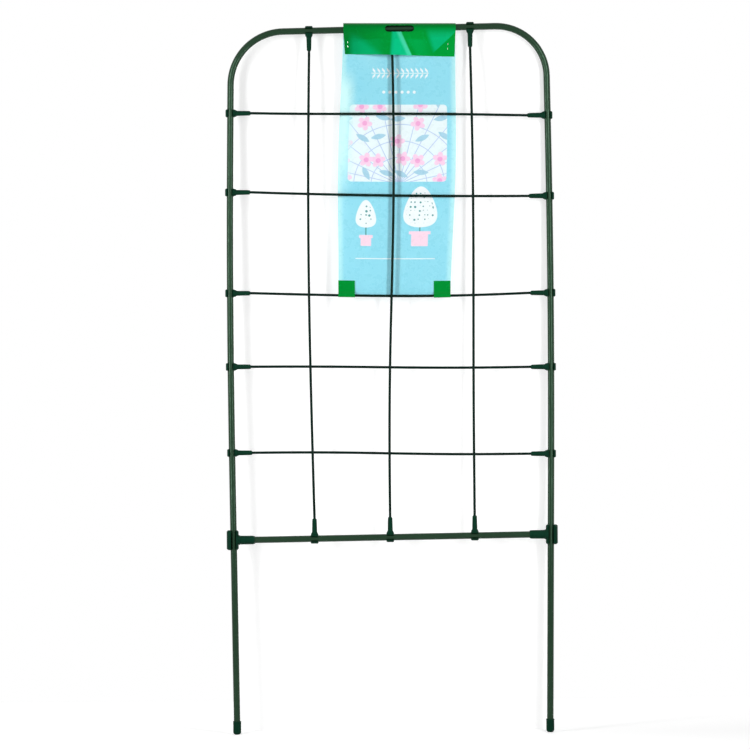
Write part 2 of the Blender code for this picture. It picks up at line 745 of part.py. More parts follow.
make_arch_tube()
make_foot_caps()
make_rail_clips()
make_lower_rail()
wire_clip = make_wire_clip_mesh()
make_cross_wires(wire_clip)
make_upright_wires(wire_clip)
make_hang_card()
make_staples()
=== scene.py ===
"""The climbing plant trellis as it looks, with fine meshes and finishes. Metres, +Z up."""
import math

import bmesh
import bpy
from mathutils import Matrix, Vector


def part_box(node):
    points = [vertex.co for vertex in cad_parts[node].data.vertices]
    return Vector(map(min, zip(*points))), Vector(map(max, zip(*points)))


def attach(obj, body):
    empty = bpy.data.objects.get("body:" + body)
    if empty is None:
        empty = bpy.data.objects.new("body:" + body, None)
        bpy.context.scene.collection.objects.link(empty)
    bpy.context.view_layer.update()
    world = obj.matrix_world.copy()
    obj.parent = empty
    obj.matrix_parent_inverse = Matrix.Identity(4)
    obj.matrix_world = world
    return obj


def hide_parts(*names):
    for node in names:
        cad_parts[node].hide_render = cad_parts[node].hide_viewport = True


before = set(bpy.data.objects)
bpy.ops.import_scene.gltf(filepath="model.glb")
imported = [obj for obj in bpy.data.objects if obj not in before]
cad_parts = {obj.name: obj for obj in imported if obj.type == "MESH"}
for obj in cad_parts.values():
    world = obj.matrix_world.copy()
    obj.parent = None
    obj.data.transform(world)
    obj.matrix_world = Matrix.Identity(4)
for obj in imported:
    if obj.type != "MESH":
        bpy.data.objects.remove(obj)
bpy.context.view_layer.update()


# Camera
# The trellis is seen square on from 3 m away, with the view level at half its height. The
# picture is turned by just under half a degree.

VIEW_DISTANCE = 3.0
VIEW_WIDTH = 0.9529
VIEW_CENTRE = Vector((-0.0203, 0.0, 0.4554))
VIEW_ROLL = math.radians(0.45)


def new_object(name, data):
    """An object for a mesh, a lamp or a lens, linked to the scene."""
    item = bpy.data.objects.new(name, data)
    bpy.context.scene.collection.objects.link(item)
    return item


lens = bpy.data.cameras.new("camera")
lens.sensor_width = 36.0
lens.lens = lens.sensor_width * VIEW_DISTANCE / VIEW_WIDTH
camera = new_object("camera", lens)
camera.location = VIEW_CENTRE - Vector((0.0, VIEW_DISTANCE, 0.0))
camera.rotation_euler = (math.radians(90), VIEW_ROLL, 0.0)
bpy.context.scene.camera = camera
bpy.context.scene.view_settings.view_transform = "Standard"


# Floor, backdrop and light
# A small white floor, and a white card that leans in close behind the trellis and takes the soft
# shadows between its legs. A tall narrow lamp stands close in front of each leg, and a weak pair
# nearer the camera gives the creased film its gleams. A large one lights the back.

FLOOR_HALF_WIDTH = 0.9
FLOOR_FRONT = -1.2
FLOOR_BACK = 0.30
BACKDROP_HALF_WIDTH = 0.2010
BACKDROP_TOP = 0.8970
BACKDROP_CORNER = 0.066
BACKDROP_GAP = 0.0320
BACKDROP_LEAN = -0.0225
BACKDROP_TURN = -0.0228
BACKDROP_WHITE = 0.50
BACKDROP_LIFT_AT_FLOOR = 0.70
BACKDROP_LIFT_AT_TOP = 0.57
FLOOR_WHITE = 0.75
FLOOR_LIFT_IN_FRONT = 0.53
FLOOR_LIFT_BEHIND = 0.78
ROOM_LIGHT = 0.13
SOFT_LAMPS = (
    # name, place, width and height, watts
    ("left_lamp", (-0.60, -0.48, 0.64), (0.12, 0.9), 4.3),
    ("right_lamp", (0.47, -0.60, 0.64), (0.12, 0.9), 3.8),
    ("left_gleam", (-0.85, -2.70, 1.25), (0.30, 0.6), 4.0),
    ("right_gleam", (0.85, -2.70, 1.25), (0.30, 0.6), 4.0),
    ("back_lamp", (0.30, 2.60, 0.90), (1.2, 1.2), 18.0),
)


def add_node(tree, kind, inputs=None, **settings):
    """Add a node, set it up, and give each named or numbered input its value or its link."""
    node = tree.nodes.new(kind)
    for name, value in settings.items():
        setattr(node, name, value)
    for key, value in (inputs or {}).items():
        if isinstance(value, bpy.types.NodeSocket):
            tree.links.new(value, node.inputs[key])
        else:
            node.inputs[key].default_value = value
    return node


def calc(operation, *values):
    """One Math node on values and links, in the tree that the first link belongs to."""
    tree = next(value.id_data for value in values if isinstance(value, bpy.types.NodeSocket))
    return add_node(tree, "ShaderNodeMath", dict(enumerate(values)), operation=operation).outputs[0]


def times(first, second):
    return calc("MULTIPLY", first, second)


def minus(first, second):
    return calc("SUBTRACT", first, second)


def parts_of(vector):
    """The X, Y and Z of a vector."""
    return add_node(vector.id_data, "ShaderNodeSeparateXYZ", {0: vector}).outputs


def seen_directly(tree):
    """1 for rays from the camera and for what metal and glass show, 0 for other light."""
    path = add_node(tree, "ShaderNodeLightPath")
    shown = calc("MAXIMUM", path.outputs["Is Camera Ray"], path.outputs["Is Glossy Ray"])
    return calc("MAXIMUM", shown, path.outputs["Is Transmission Ray"]), path


def white_stage(name, white, axis, reach, lift_near, lift_far):
    """Plain white card that holds shadows, seen only from its front, and lifted to white.

    The lift changes along one axis of the card, from where that axis is 0 to its reach.
    """
    material = bpy.data.materials.new(name)
    material.use_nodes = True
    tree = material.node_tree
    tree.nodes.clear()
    shown, path = seen_directly(tree)
    card = add_node(tree, "ShaderNodeBsdfDiffuse", {"Color": (white, white, white, 1.0)})
    spot = add_node(tree, "ShaderNodeTexCoord").outputs["Object"]
    lift = add_node(tree, "ShaderNodeMapRange", {
        "Value": parts_of(spot)[axis], "From Max": reach, "To Min": lift_near, "To Max": lift_far})
    glow = add_node(tree, "ShaderNodeEmission", {"Strength": times(shown, lift.outputs[0])})
    front = add_node(tree, "ShaderNodeAddShader", {0: card.outputs[0], 1: glow.outputs[0]})
    behind = add_node(tree, "ShaderNodeNewGeometry").outputs["Backfacing"]
    open_way = calc("MAXIMUM", behind, path.outputs["Is Shadow Ray"])
    clear = add_node(tree, "ShaderNodeBsdfTransparent")
    both = add_node(tree, "ShaderNodeMixShader", {
        0: open_way, 1: front.outputs[0], 2: clear.outputs[0]})
    add_node(tree, "ShaderNodeOutputMaterial", {"Surface": both.outputs[0]})
    return material


def add_stage_sheet(name, corners, material):
    mesh = bpy.data.meshes.new(name)
    mesh.from_pydata(corners, [], [tuple(range(len(corners)))])
    mesh.materials.append(material)
    new_object(name, mesh)


def add_soft_lamp(name, place, size, watts):
    lamp = bpy.data.lights.new(name, "AREA")
    lamp.shape = "RECTANGLE"
    lamp.size, lamp.size_y = size
    lamp.energy = watts
    item = new_object(name, lamp)
    item.location = place
    item.rotation_euler = (VIEW_CENTRE - Vector(place)).to_track_quat("-Z", "Y").to_euler()
    item.visible_camera = False


def light_room():
    world = bpy.data.worlds.new("room")
    world.use_nodes = True
    tree = world.node_tree
    shown = seen_directly(tree)[0]
    strength = add_node(tree, "ShaderNodeMapRange", {
        "Value": shown, "To Min": ROOM_LIGHT, "To Max": 1.0})
    room = tree.nodes["Background"]
    room.inputs["Color"].default_value = (1.0, 1.0, 1.0, 1.0)
    tree.links.new(strength.outputs[0], room.inputs["Strength"])
    bpy.context.scene.world = world


def backdrop_outline(steps=8):
    """A card as wide as the trellis, with its top corners rounded as the arch is."""
    outline = [(-BACKDROP_HALF_WIDTH, 0.0), (BACKDROP_HALF_WIDTH, 0.0)]
    aside = BACKDROP_HALF_WIDTH - BACKDROP_CORNER
    height = BACKDROP_TOP - BACKDROP_CORNER
    for side, start in ((1, 0), (-1, 90)):
        for step in range(steps + 1):
            angle = math.radians(start + 90 * step / steps)
            outline.append((side * aside + BACKDROP_CORNER * math.cos(angle),
                            height + BACKDROP_CORNER * math.sin(angle)))
    return outline


def build_stage():
    """The backdrop is nearest to the trellis at the top right."""
    floor = [(-FLOOR_HALF_WIDTH, FLOOR_FRONT, 0.0), (FLOOR_HALF_WIDTH, FLOOR_FRONT, 0.0),
             (FLOOR_HALF_WIDTH, FLOOR_BACK, 0.0), (-FLOOR_HALF_WIDTH, FLOOR_BACK, 0.0)]
    backdrop = [(across, BACKDROP_GAP + BACKDROP_TURN * across + BACKDROP_LEAN * height, height)
                for across, height in backdrop_outline()]
    floor_white = white_stage("white_floor", FLOOR_WHITE, "Y", FLOOR_BACK,
                              FLOOR_LIFT_IN_FRONT, FLOOR_LIFT_BEHIND)
    add_stage_sheet("floor", floor, floor_white)
    backdrop_white = white_stage("white_backdrop", BACKDROP_WHITE, "Z", BACKDROP_TOP,
                                 BACKDROP_LIFT_AT_FLOOR, BACKDROP_LIFT_AT_TOP)
    add_stage_sheet("backdrop", backdrop, backdrop_white)
    for lamp in SOFT_LAMPS:
        add_soft_lamp(*lamp)
    light_room()


build_stage()


# Arch tube and lower rail
# One steel tube of 8 mm bent into an arch on two legs, and a straight piece of the same tube
# between the large clips. Both have a satin green plastic coat, drawn on lengthwise.

TUBE_DIAMETER = 0.0084
TUBE_WALL = 0.0009
LEG_SPACING = 0.4030
DRAW_IN_AT_FEET = 0.0054
DRAW_IN_AT_TOP = 0.0036
UPRIGHT_BOW = 0.0029
CORNER_RADIUS_LEFT = 0.0682
CORNER_RADIUS_RIGHT = 0.0643
LOWER_RAIL_HEIGHT = 0.2492
LOWER_RAIL_RISE = 0.0048
GRID_HEIGHT = 0.6458
TOP_RAIL_HEIGHT = LOWER_RAIL_HEIGHT + GRID_HEIGHT
TOP_RAIL_RISE = 0.0070
TUBE_START = 0.0038
TUBE_SIDES = 40
RAIL_STEPS = 20
SHARP_FROM_DEGREES = 40
GLOSS_SPREAD = 0.07
TUBE_GREEN = (0.0055, 0.021, 0.008)
TUBE_PALE_GREEN = (0.009, 0.031, 0.013)
TUBE_FINISH = dict(patch=0.012, grain=0.0005, relief=0.00004, stretch=12.0, roughness=0.20,
                   specular=0.36, gleam=(0.60, 1.0, 0.72, 1.0))
LEFT = -1
RIGHT = 1


def half_spacing(height):
    """Half the distance between the legs' centre lines at a height."""
    if height < LOWER_RAIL_HEIGHT:
        return (LEG_SPACING - DRAW_IN_AT_FEET * (1 - height / LOWER_RAIL_HEIGHT)) / 2
    share = (height - LOWER_RAIL_HEIGHT) / GRID_HEIGHT
    return (LEG_SPACING - DRAW_IN_AT_TOP * share) / 2 + UPRIGHT_BOW * math.sin(math.pi * share)


def on_leg(side, height):
    return Vector((side * half_spacing(height), 0.0, height))


def top_rail_height(across):
    return TOP_RAIL_HEIGHT + TOP_RAIL_RISE * across / (LEG_SPACING - DRAW_IN_AT_TOP)


def lower_rail_height(across):
    return LOWER_RAIL_HEIGHT + LOWER_RAIL_RISE * across / LEG_SPACING


def bend(before, corner, after, radius, steps=28):
    """Points of a round bend that leaves one straight run and joins the next."""
    heading = (corner - before).normalized()
    leaving = (after - corner).normalized()
    turn = heading.angle(leaving)
    inward = (leaving - heading * math.cos(turn)) / math.sin(turn)
    start = corner - heading * radius * math.tan(turn / 2)
    points = []
    for step in range(steps + 1):
        angle = turn * step / steps
        points.append(start + heading * radius * math.sin(angle)
                      + inward * radius * (1 - math.cos(angle)))
    return points


def arch_line(steps=56):
    """Centre line of the arch, up the left leg, over the top and down the right leg."""
    corners = {}
    for side in (LEFT, RIGHT):
        across = side * half_spacing(TOP_RAIL_HEIGHT)
        corners[side] = Vector((across, 0.0, top_rail_height(across)))
    halves = {}
    for side, radius in ((LEFT, CORNER_RADIUS_LEFT), (RIGHT, CORNER_RADIUS_RIGHT)):
        leg_top = corners[side].z - radius
        leg = [on_leg(side, TUBE_START + (leg_top - TUBE_START) * step / steps)
               for step in range(steps + 1)]
        halves[side] = leg[:-1] + bend(leg[-1], corners[side], corners[-side], radius)
    return halves[LEFT] + halves[RIGHT][::-1]


def geometry_tree(name, inputs):
    """A Geometry Nodes tree with named inputs, each with its kind of socket, and one result."""
    tree = bpy.data.node_groups.new(name, "GeometryNodeTree")
    for label, kind in inputs.items():
        tree.interface.new_socket(label, in_out="INPUT", socket_type="NodeSocket" + kind)
    tree.interface.new_socket("Result", in_out="OUTPUT", socket_type="NodeSocketGeometry")
    return tree, add_node(tree, "NodeGroupInput").outputs


def end_tree(tree, geometry, finish):
    """Make the result of a tree one plain mesh in its finish."""
    solid = add_node(tree, "GeometryNodeRealizeInstances", {"Geometry": geometry})
    finished = add_node(tree, "GeometryNodeSetMaterial", {
        "Geometry": solid.outputs[0], "Material": finish})
    add_node(tree, "NodeGroupOutput", {"Result": finished.outputs[0]})


def coated_bar_tree():
    """Geometry Nodes that sweep a round bar along a line of points.

    The surface keeps coordinates of its own in "coat": around the bar in X and Y, along it in Z.
    """
    tree, given = geometry_tree("coated_bar", {
        "Line": "Geometry", "Diameter": "Float", "Sides": "Int", "Closed ends": "Bool",
        "Finish": "Material"})
    line = add_node(tree, "GeometryNodeMeshToCurve", {"Mesh": given["Line"]})
    length = add_node(tree, "GeometryNodeSplineParameter").outputs["Length"]
    keep_length = add_node(tree, "GeometryNodeStoreNamedAttribute", {
        "Geometry": line.outputs["Curve"], "Name": "length_along", "Value": length},
        data_type="FLOAT", domain="POINT")
    ring = add_node(tree, "GeometryNodeCurvePrimitiveCircle", {
        "Resolution": given["Sides"], "Radius": times(given["Diameter"], 0.5)})
    spot = add_node(tree, "GeometryNodeInputPosition").outputs[0]
    keep_ring = add_node(tree, "GeometryNodeStoreNamedAttribute", {
        "Geometry": ring.outputs["Curve"], "Name": "round_section", "Value": spot},
        data_type="FLOAT_VECTOR", domain="POINT")
    swept = add_node(tree, "GeometryNodeCurveToMesh", {
        "Curve": keep_length.outputs[0], "Profile Curve": keep_ring.outputs[0],
        "Fill Caps": given["Closed ends"]})
    along = add_node(tree, "GeometryNodeInputNamedAttribute", {"Name": "length_along"},
                     data_type="FLOAT")
    section = add_node(tree, "GeometryNodeInputNamedAttribute", {"Name": "round_section"},
                       data_type="FLOAT_VECTOR")
    around = parts_of(section.outputs["Attribute"])
    coat = add_node(tree, "ShaderNodeCombineXYZ", {
        0: around[0], 1: around[1], 2: along.outputs["Attribute"]})
    with_coat = add_node(tree, "GeometryNodeStoreNamedAttribute", {
        "Geometry": swept.outputs["Mesh"], "Name": "coat", "Value": coat.outputs[0]},
        data_type="FLOAT_VECTOR", domain="POINT")
    end_tree(tree, with_coat.outputs[0], given["Finish"])
    return tree


def keep_result(item):
    """Put the modifiers' result in the object's own mesh, smooth except at its corners."""
    bpy.context.view_layer.update()
    graph = bpy.context.evaluated_depsgraph_get()
    mesh = bpy.data.meshes.new_from_object(item.evaluated_get(graph))
    mesh.name = item.name
    item.modifiers.clear()
    item.data = mesh
    mesh.shade_smooth()
    mesh.set_sharp_from_angle(angle=math.radians(SHARP_FROM_DEGREES))
    return item


def line_of_points(name, points):
    mesh = bpy.data.meshes.new(name)
    mesh.from_pydata(points, [(spot, spot + 1) for spot in range(len(points) - 1)], [])
    return mesh


def grow(name, guide, tree, **inputs):
    """Run a Geometry Nodes tree on a guide mesh, with its inputs by name, and keep the result."""
    item = new_object(name, guide)
    step = item.modifiers.new(tree.name, "NODES")
    step.node_group = tree
    for socket in tree.interface.items_tree:
        label = socket.name.replace(" ", "_")
        if label in inputs:
            step[socket.identifier] = inputs[label]
    return keep_result(item)


def finished(name, deep, pale, coordinates, patch, grain, relief, roughness, stretch=1.0,
             specular=0.5, gleam=(1.0, 1.0, 1.0, 1.0)):
    """A finish with soft patches of two colours and a fine grain in its gloss and its relief.

    patch and grain are sizes in metres, and stretch lengthens the grain along a coat.
    """
    material = bpy.data.materials.new(name)
    material.use_nodes = True
    tree = material.node_tree
    shader = tree.nodes["Principled BSDF"]
    if coordinates == "coat":
        spot = add_node(tree, "ShaderNodeAttribute", attribute_name="coat").outputs["Vector"]
    else:
        spot = add_node(tree, "ShaderNodeTexCoord").outputs["Object"]
    patches = add_node(tree, "ShaderNodeTexNoise", {"Vector": spot, "Scale": 1 / patch, "Detail": 2.0})
    colour = add_node(tree, "ShaderNodeMix", {
        "Factor": patches.outputs["Fac"], 6: (*deep, 1.0), 7: (*pale, 1.0)}, data_type="RGBA")
    tree.links.new(colour.outputs[2], shader.inputs["Base Color"])
    drawn = add_node(tree, "ShaderNodeMapping", {"Vector": spot, "Scale": (1.0, 1.0, 1.0 / stretch)})
    fine = add_node(tree, "ShaderNodeTexNoise", {
        "Vector": drawn.outputs[0], "Scale": 1 / grain, "Detail": 4.0, "Roughness": 0.6})
    gloss = add_node(tree, "ShaderNodeMapRange", {
        "Value": fine.outputs["Fac"], "To Min": roughness - GLOSS_SPREAD,
        "To Max": roughness + GLOSS_SPREAD})
    tree.links.new(gloss.outputs[0], shader.inputs["Roughness"])
    bump = add_node(tree, "ShaderNodeBump", {
        "Height": fine.outputs["Fac"], "Distance": relief, "Strength": 1.0})
    tree.links.new(bump.outputs[0], shader.inputs["Normal"])
    shader.inputs["Specular IOR Level"].default_value = specular
    shader.inputs["Specular Tint"].default_value = gleam
    return material


def make_tubes(tree):
    """Each tube is the coat's skin along its line, given the steel's wall inwards."""
    coat = finished("tube_coat", TUBE_GREEN, TUBE_PALE_GREEN, "coat", **TUBE_FINISH)
    low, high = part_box("lower_rail")
    ends = [Vector((across, 0.0, lower_rail_height(across))) for across in (low.x, high.x)]
    rail = [ends[0].lerp(ends[1], step / RAIL_STEPS) for step in range(RAIL_STEPS + 1)]
    for node, points in (("arch_tube", arch_line()), ("lower_rail", rail)):
        tube = grow("green_" + node, line_of_points(node, points), tree, Diameter=TUBE_DIAMETER,
                    Sides=TUBE_SIDES, Closed_ends=False, Finish=coat)
        wall = tube.modifiers.new("wall", "SOLIDIFY")
        wall.thickness = TUBE_WALL
        wall.offset = -1.0
        keep_result(tube)
        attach(tube, "frame")
        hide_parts(node)


coated_bar = coated_bar_tree()
make_tubes(coated_bar)


# Foot caps
# A soft moulded cap is pushed over the sawn end of each leg. It has a rounded rim, a fine step
# under it and a low dome that lets the leg slide into the soil.

CAP_HEIGHT = 0.0169
CAP_OUTER_RADIUS = 0.0053
CAP_BORE_RADIUS = 0.0045
CAP_FLOOR = 0.0035
CAP_DOME_HEIGHT = 0.0034
CAP_TIP_RADIUS = 0.0016
CAP_RIM_HEIGHT = 0.0014
CAP_RIM_STEP = 0.00018
CAP_DOME_STEPS = 8
CAP_WELD = 0.00001
CLIP_GREEN = (0.003, 0.024, 0.012)
CLIP_PALE_GREEN = (0.005, 0.038, 0.020)
CLIP_FINISH = dict(patch=0.006, grain=0.00045, relief=0.00003, roughness=0.44,
                   specular=0.06, gleam=(0.4, 1.0, 0.7, 1.0))


def mesh_from(shape, name):
    """Keep a shape's faces as a mesh."""
    mesh = bpy.data.meshes.new(name)
    shape.to_mesh(mesh)
    shape.free()
    return mesh


def turned_mesh(name, profile, steps=48):
    """A closed shape turned round Z from a profile of radius and height, outer side downwards."""
    shape = bmesh.new()
    corners = [shape.verts.new((radius, 0.0, height)) for radius, height in profile]
    edges = [shape.edges.new(pair) for pair in zip(corners, corners[1:])]
    bmesh.ops.spin(shape, geom=corners + edges, cent=(0, 0, 0), axis=(0, 0, 1),
                   angle=math.tau, steps=steps, use_merge=True)
    bmesh.ops.remove_doubles(shape, verts=shape.verts, dist=CAP_WELD)
    bmesh.ops.recalc_face_normals(shape, faces=shape.faces)
    return mesh_from(shape, name)


def rounded(corner, radius, start_degrees, end_degrees, steps=5):
    """Profile points round the inside of a corner, from one heading to another."""
    points = []
    for step in range(steps + 1):
        angle = math.radians(start_degrees + (end_degrees - start_degrees) * step / steps)
        points.append((corner[0] + radius * math.cos(angle), corner[1] + radius * math.sin(angle)))
    return points


def cap_profile():
    lip = (CAP_OUTER_RADIUS - CAP_BORE_RADIUS) / 2 - CAP_WELD
    profile = [(0.0, CAP_FLOOR), (CAP_BORE_RADIUS, CAP_FLOOR)]
    profile += rounded((CAP_OUTER_RADIUS - lip, CAP_HEIGHT - lip), lip, 180, 0, 8)
    step_height = CAP_HEIGHT - CAP_RIM_HEIGHT
    widest = CAP_OUTER_RADIUS - CAP_RIM_STEP
    profile += [(CAP_OUTER_RADIUS, step_height), (widest, step_height - CAP_RIM_STEP)]
    for step in range(CAP_DOME_STEPS + 1):
        angle = math.pi / 2 * step / CAP_DOME_STEPS
        radius = CAP_TIP_RADIUS + (widest - CAP_TIP_RADIUS) * math.cos(angle)
        profile.append((radius, CAP_DOME_HEIGHT * (1 - math.sin(angle))))
    return profile + [(0.0, 0.0)]


def make_foot_caps(plastic):
    for node in ("foot_cap_left", "foot_cap_right"):
        low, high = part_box(node)
        mesh = turned_mesh("foot_cap", cap_profile())
        mesh.transform(Matrix.Translation(((low.x + high.x) / 2, 0.0, 0.0)))
        mesh.materials.append(plastic)
        cap = keep_result(new_object("green_" + node, mesh))
        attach(cap, "frame")
        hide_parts(node)


clip_plastic = finished("moulded_green", CLIP_GREEN, CLIP_PALE_GREEN, "object", **CLIP_FINISH)
make_foot_caps(clip_plastic)


# Clips
# Each clip is one moulding: a jaw like a C that snaps on a tube from the back, and a round stem
# with a socket for the wire or rail. The edges and the root of the stem are softly rounded.

CLIP_VOXEL = 0.00022
CLIP_SOFTENING = 6
CLIP_FACE_SHARE = 0.22
CLIP_WELD = 0.000002


def moulded_shape(node, centre):
    """A clip's own solid with soft edges, moved to the origin."""
    shape = bmesh.new()
    shape.from_mesh(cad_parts[node].data)
    bmesh.ops.remove_doubles(shape, verts=shape.verts, dist=CLIP_WELD)
    mesh = mesh_from(shape, node)
    mesh.transform(Matrix.Translation(-centre))
    item = new_object("moulded_" + node, mesh)
    skin = item.modifiers.new("skin", "REMESH")
    skin.mode = "VOXEL"
    skin.voxel_size = CLIP_VOXEL
    soften = item.modifiers.new("soften", "SMOOTH")
    soften.iterations = CLIP_SOFTENING
    thin = item.modifiers.new("thin", "DECIMATE")
    thin.ratio = CLIP_FACE_SHARE
    keep_result(item)
    item.hide_render = True
    return item


def clips_on_points_tree():
    """Geometry Nodes that set a clip on each point, turned as the point says."""
    tree, given = geometry_tree("clips_on_points", {
        "Places": "Geometry", "Clip": "Object", "Finish": "Material"})
    clip = add_node(tree, "GeometryNodeObjectInfo", {"Object": given["Clip"]})
    turn = add_node(tree, "GeometryNodeInputNamedAttribute", {"Name": "turn"},
                    data_type="FLOAT_VECTOR")
    placed = add_node(tree, "GeometryNodeInstanceOnPoints", {
        "Points": given["Places"], "Instance": clip.outputs["Geometry"],
        "Rotation": turn.outputs["Attribute"]})
    end_tree(tree, placed.outputs[0], given["Finish"])
    return tree


def make_clips(name, clip, places, body, nodes):
    """One mesh of clips, with each place and its turn about Y from the list."""
    guide = bpy.data.meshes.new(name)
    guide.from_pydata([place for place, turn in places], [], [])
    turns = guide.attributes.new("turn", "FLOAT_VECTOR", "POINT")
    for spot, (place, turn) in zip(turns.data, places):
        spot.vector = (0.0, turn, 0.0)
    piece = grow(name, guide, clips_on_points, Clip=clip, Finish=clip_plastic)
    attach(piece, body)
    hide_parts(*nodes)


def middle_of(node):
    low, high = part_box(node)
    return (low + high) / 2


clips_on_points = clips_on_points_tree()
rail_clip_places = []
for side, turn, word in ((LEFT, 0.0, "left"), (RIGHT, math.pi, "right")):
    rail_clip_places.append((on_leg(side, middle_of("rail_clip_" + word).z), turn))
rail_clip = moulded_shape("rail_clip_left", rail_clip_places[0][0])
make_clips("green_rail_clips", rail_clip, rail_clip_places, "frame",
           ["rail_clip_left", "rail_clip_right"])


# Cross wires and upright wires
# Steel wire, 3.3 mm thick with its coat, which is darker and duller than the tubes'. Each wire is
# pushed into a small clip at both ends. The upright wires pass in front of the cross wires.

WIRE_DIAMETER = 0.0033
WIRE_SIDES = 24
WIRE_GREEN = (0.004, 0.014, 0.010)
WIRE_PALE_GREEN = (0.006, 0.020, 0.014)
WIRE_FINISH = dict(patch=0.010, grain=0.0004, relief=0.00003, stretch=14.0, roughness=0.38,
                   specular=0.03)
CLIP_REACH = 0.0255
SOCKET_DEPTH = 0.0150
TOUCH_GAP = 0.0003
CROSSING_GAP = 0.0004
STRAIGHT_LEAD = 0.0020
LAYER_RUN = 0.0360
LAYER_OFFSET = (WIRE_DIAMETER + CROSSING_GAP) / 2
CROSS_WIRES = (
    # height of the left end and of the right end, bow, swing
    (TOP_RAIL_HEIGHT - 0.1058, TOP_RAIL_HEIGHT - 0.1111, 0.0007, -0.0005),
    (TOP_RAIL_HEIGHT - 0.2063, TOP_RAIL_HEIGHT - 0.2136, -0.0016, 0.0),
    (LOWER_RAIL_HEIGHT + 0.3114, LOWER_RAIL_HEIGHT + 0.3090, -0.0037, 0.0004),
    (LOWER_RAIL_HEIGHT + 0.2179, LOWER_RAIL_HEIGHT + 0.2150, -0.0006, 0.0006),
    (LOWER_RAIL_HEIGHT + 0.1086, LOWER_RAIL_HEIGHT + 0.1047, -0.0002, 0.0008),
)
UPRIGHT_WIRES = (
    # place across at the bottom and at the top, bow, swing
    (-0.0986, -0.1009, -0.0036, 0.0002),
    (-0.0025, 0.0048, 0.0009, -0.0019),
    (0.1049, 0.1038, 0.0013, -0.0008),
)
FIXED_CROSS_WIRE = 3


def eased(share):
    """From 0 to 1 with level ends, for a share held between 0 and 1."""
    share = min(max(share, 0.0), 1.0)
    return share * share * (3.0 - 2.0 * share)


def aside_at(share, bow, swing):
    return bow * math.sin(math.pi * share) + swing * math.sin(math.tau * share)


def wire_line(start, end, stem, bend_towards, bow, swing, layer, steps=72):
    """Centre line of a wire, straight in both sockets and gently bent between them."""
    inside = CLIP_REACH - SOCKET_DEPTH + TOUCH_GAP
    outside = CLIP_REACH + STRAIGHT_LEAD
    first = start + stem * outside
    last = end - stem * outside
    length = (last - first).length
    points = [start + stem * inside]
    for step in range(steps + 1):
        share = step / steps
        aside = aside_at(share, bow, swing)
        depth = layer * eased(min(share, 1 - share) * length / LAYER_RUN)
        points.append(first.lerp(last, share) + bend_towards * aside + Vector((0.0, depth, 0.0)))
    points.append(end - stem * inside)
    return points


def make_wire(name, line, places, words, body):
    """A wire and its two clips."""
    piece = grow("green_" + name, line_of_points(name, line), coated_bar, Diameter=WIRE_DIAMETER,
                 Sides=WIRE_SIDES, Closed_ends=True, Finish=wire_green)
    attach(piece, body)
    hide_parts(name)
    nodes = [f"{name}_clip_{word}" for word in words]
    make_clips(f"green_{name}_clips", wire_clip, places, body, nodes)


wire_green = finished("wire_coat", WIRE_GREEN, WIRE_PALE_GREEN, "coat", **WIRE_FINISH)
wire_clip = moulded_shape("cross_wire_1_clip_left", on_leg(LEFT, CROSS_WIRES[0][0]))
for number, (left, right, bow, swing) in enumerate(CROSS_WIRES, start=1):
    name = f"cross_wire_{number}"
    start, end = on_leg(LEFT, left), on_leg(RIGHT, right)
    line = wire_line(start, end, Vector((1, 0, 0)), Vector((0, 0, 1)), bow, swing, LAYER_OFFSET)
    body = "frame" if number == FIXED_CROSS_WIRE else name + "_assembly"
    make_wire(name, line, [(start, 0.0), (end, math.pi)], ("left", "right"), body)
for number, (bottom, top, bow, swing) in enumerate(UPRIGHT_WIRES, start=1):
    name = f"upright_wire_{number}"
    start = Vector((bottom, 0.0, lower_rail_height(bottom)))
    end = Vector((top, 0.0, top_rail_height(top)))
    line = wire_line(start, end, Vector((0, 0, 1)), Vector((1, 0, 0)), bow, swing, -LAYER_OFFSET)
    places = [(start, -math.pi / 2), (end, math.pi / 2)]
    make_wire(name, line, places, ("bottom", "top"), name + "_assembly")


# Hang card
# One sheet of printed plastic, folded over the top rail. The creased green header is stapled to
# the light blue panel, whose sides curl back, and the two green corner tabs are turned up round
# the third cross wire. The print is a plain garden design with no words.

CARD_THICKNESS = 0.0004
CARD_WIDTH = 0.1426
CARD_SIDE_BOW = 0.0035
CARD_OFFSET = 0.0142
CARD_LEAN = 0.0090
FOLD_DROP = 0.0001
FOLD_FALL = 0.0012
FLAP_LENGTH = 0.0337
FLAP_DRAW_IN = 0.0036
FLAP_TILT = 0.0031
PINCH_DROP = 0.0212
BULGE_DEPTH = 0.0052
BULGE_HALF_WIDTH = 0.0550
RUN_BACK_DROP = 0.0358
RUN_BACK_LENGTH = 0.0400
TAB_WIDTH = 0.0211
TAB_LENGTH = 0.0190
TAB_RETURN = 0.0070
SLOT_LENGTH = 0.0369
SLOT_WIDTH = 0.0080
SLOT_DROP = 0.0076
CLIP_JAW_RADIUS = 0.0063
CREASE_APEX = (0.0098, 0.0060)
CREASE_FEET = (0.0039, 0.0261)
CREASE_DEPTH = 0.0021
CREASE_RETURN = 0.0120
CURL_START = 0.80
CURL_AT_LEFT = 0.0028
CURL_AT_RIGHT = 0.0012
HALF_SHEET = CARD_THICKNESS / 2
PANEL_LAYER = LAYER_OFFSET + WIRE_DIAMETER / 2 + TOUCH_GAP + HALF_SHEET
PINCH_GAP = (TOUCH_GAP + CARD_THICKNESS) / 2
FOLD_RADIUS = CLIP_JAW_RADIUS + 2 * TOUCH_GAP + HALF_SHEET
FOLD_CENTRE = TOP_RAIL_HEIGHT - FOLD_DROP
FOLD_TOP = FOLD_CENTRE + FOLD_RADIUS
FOLD_LENGTH = math.pi * FOLD_RADIUS
WRAP_RADIUS = PANEL_LAYER - LAYER_OFFSET
WRAP_LENGTH = math.pi * WRAP_RADIUS
GREEN_ON_BACK = 0.0020
FLAP_ROWS = 36
FOLD_ROWS = 16
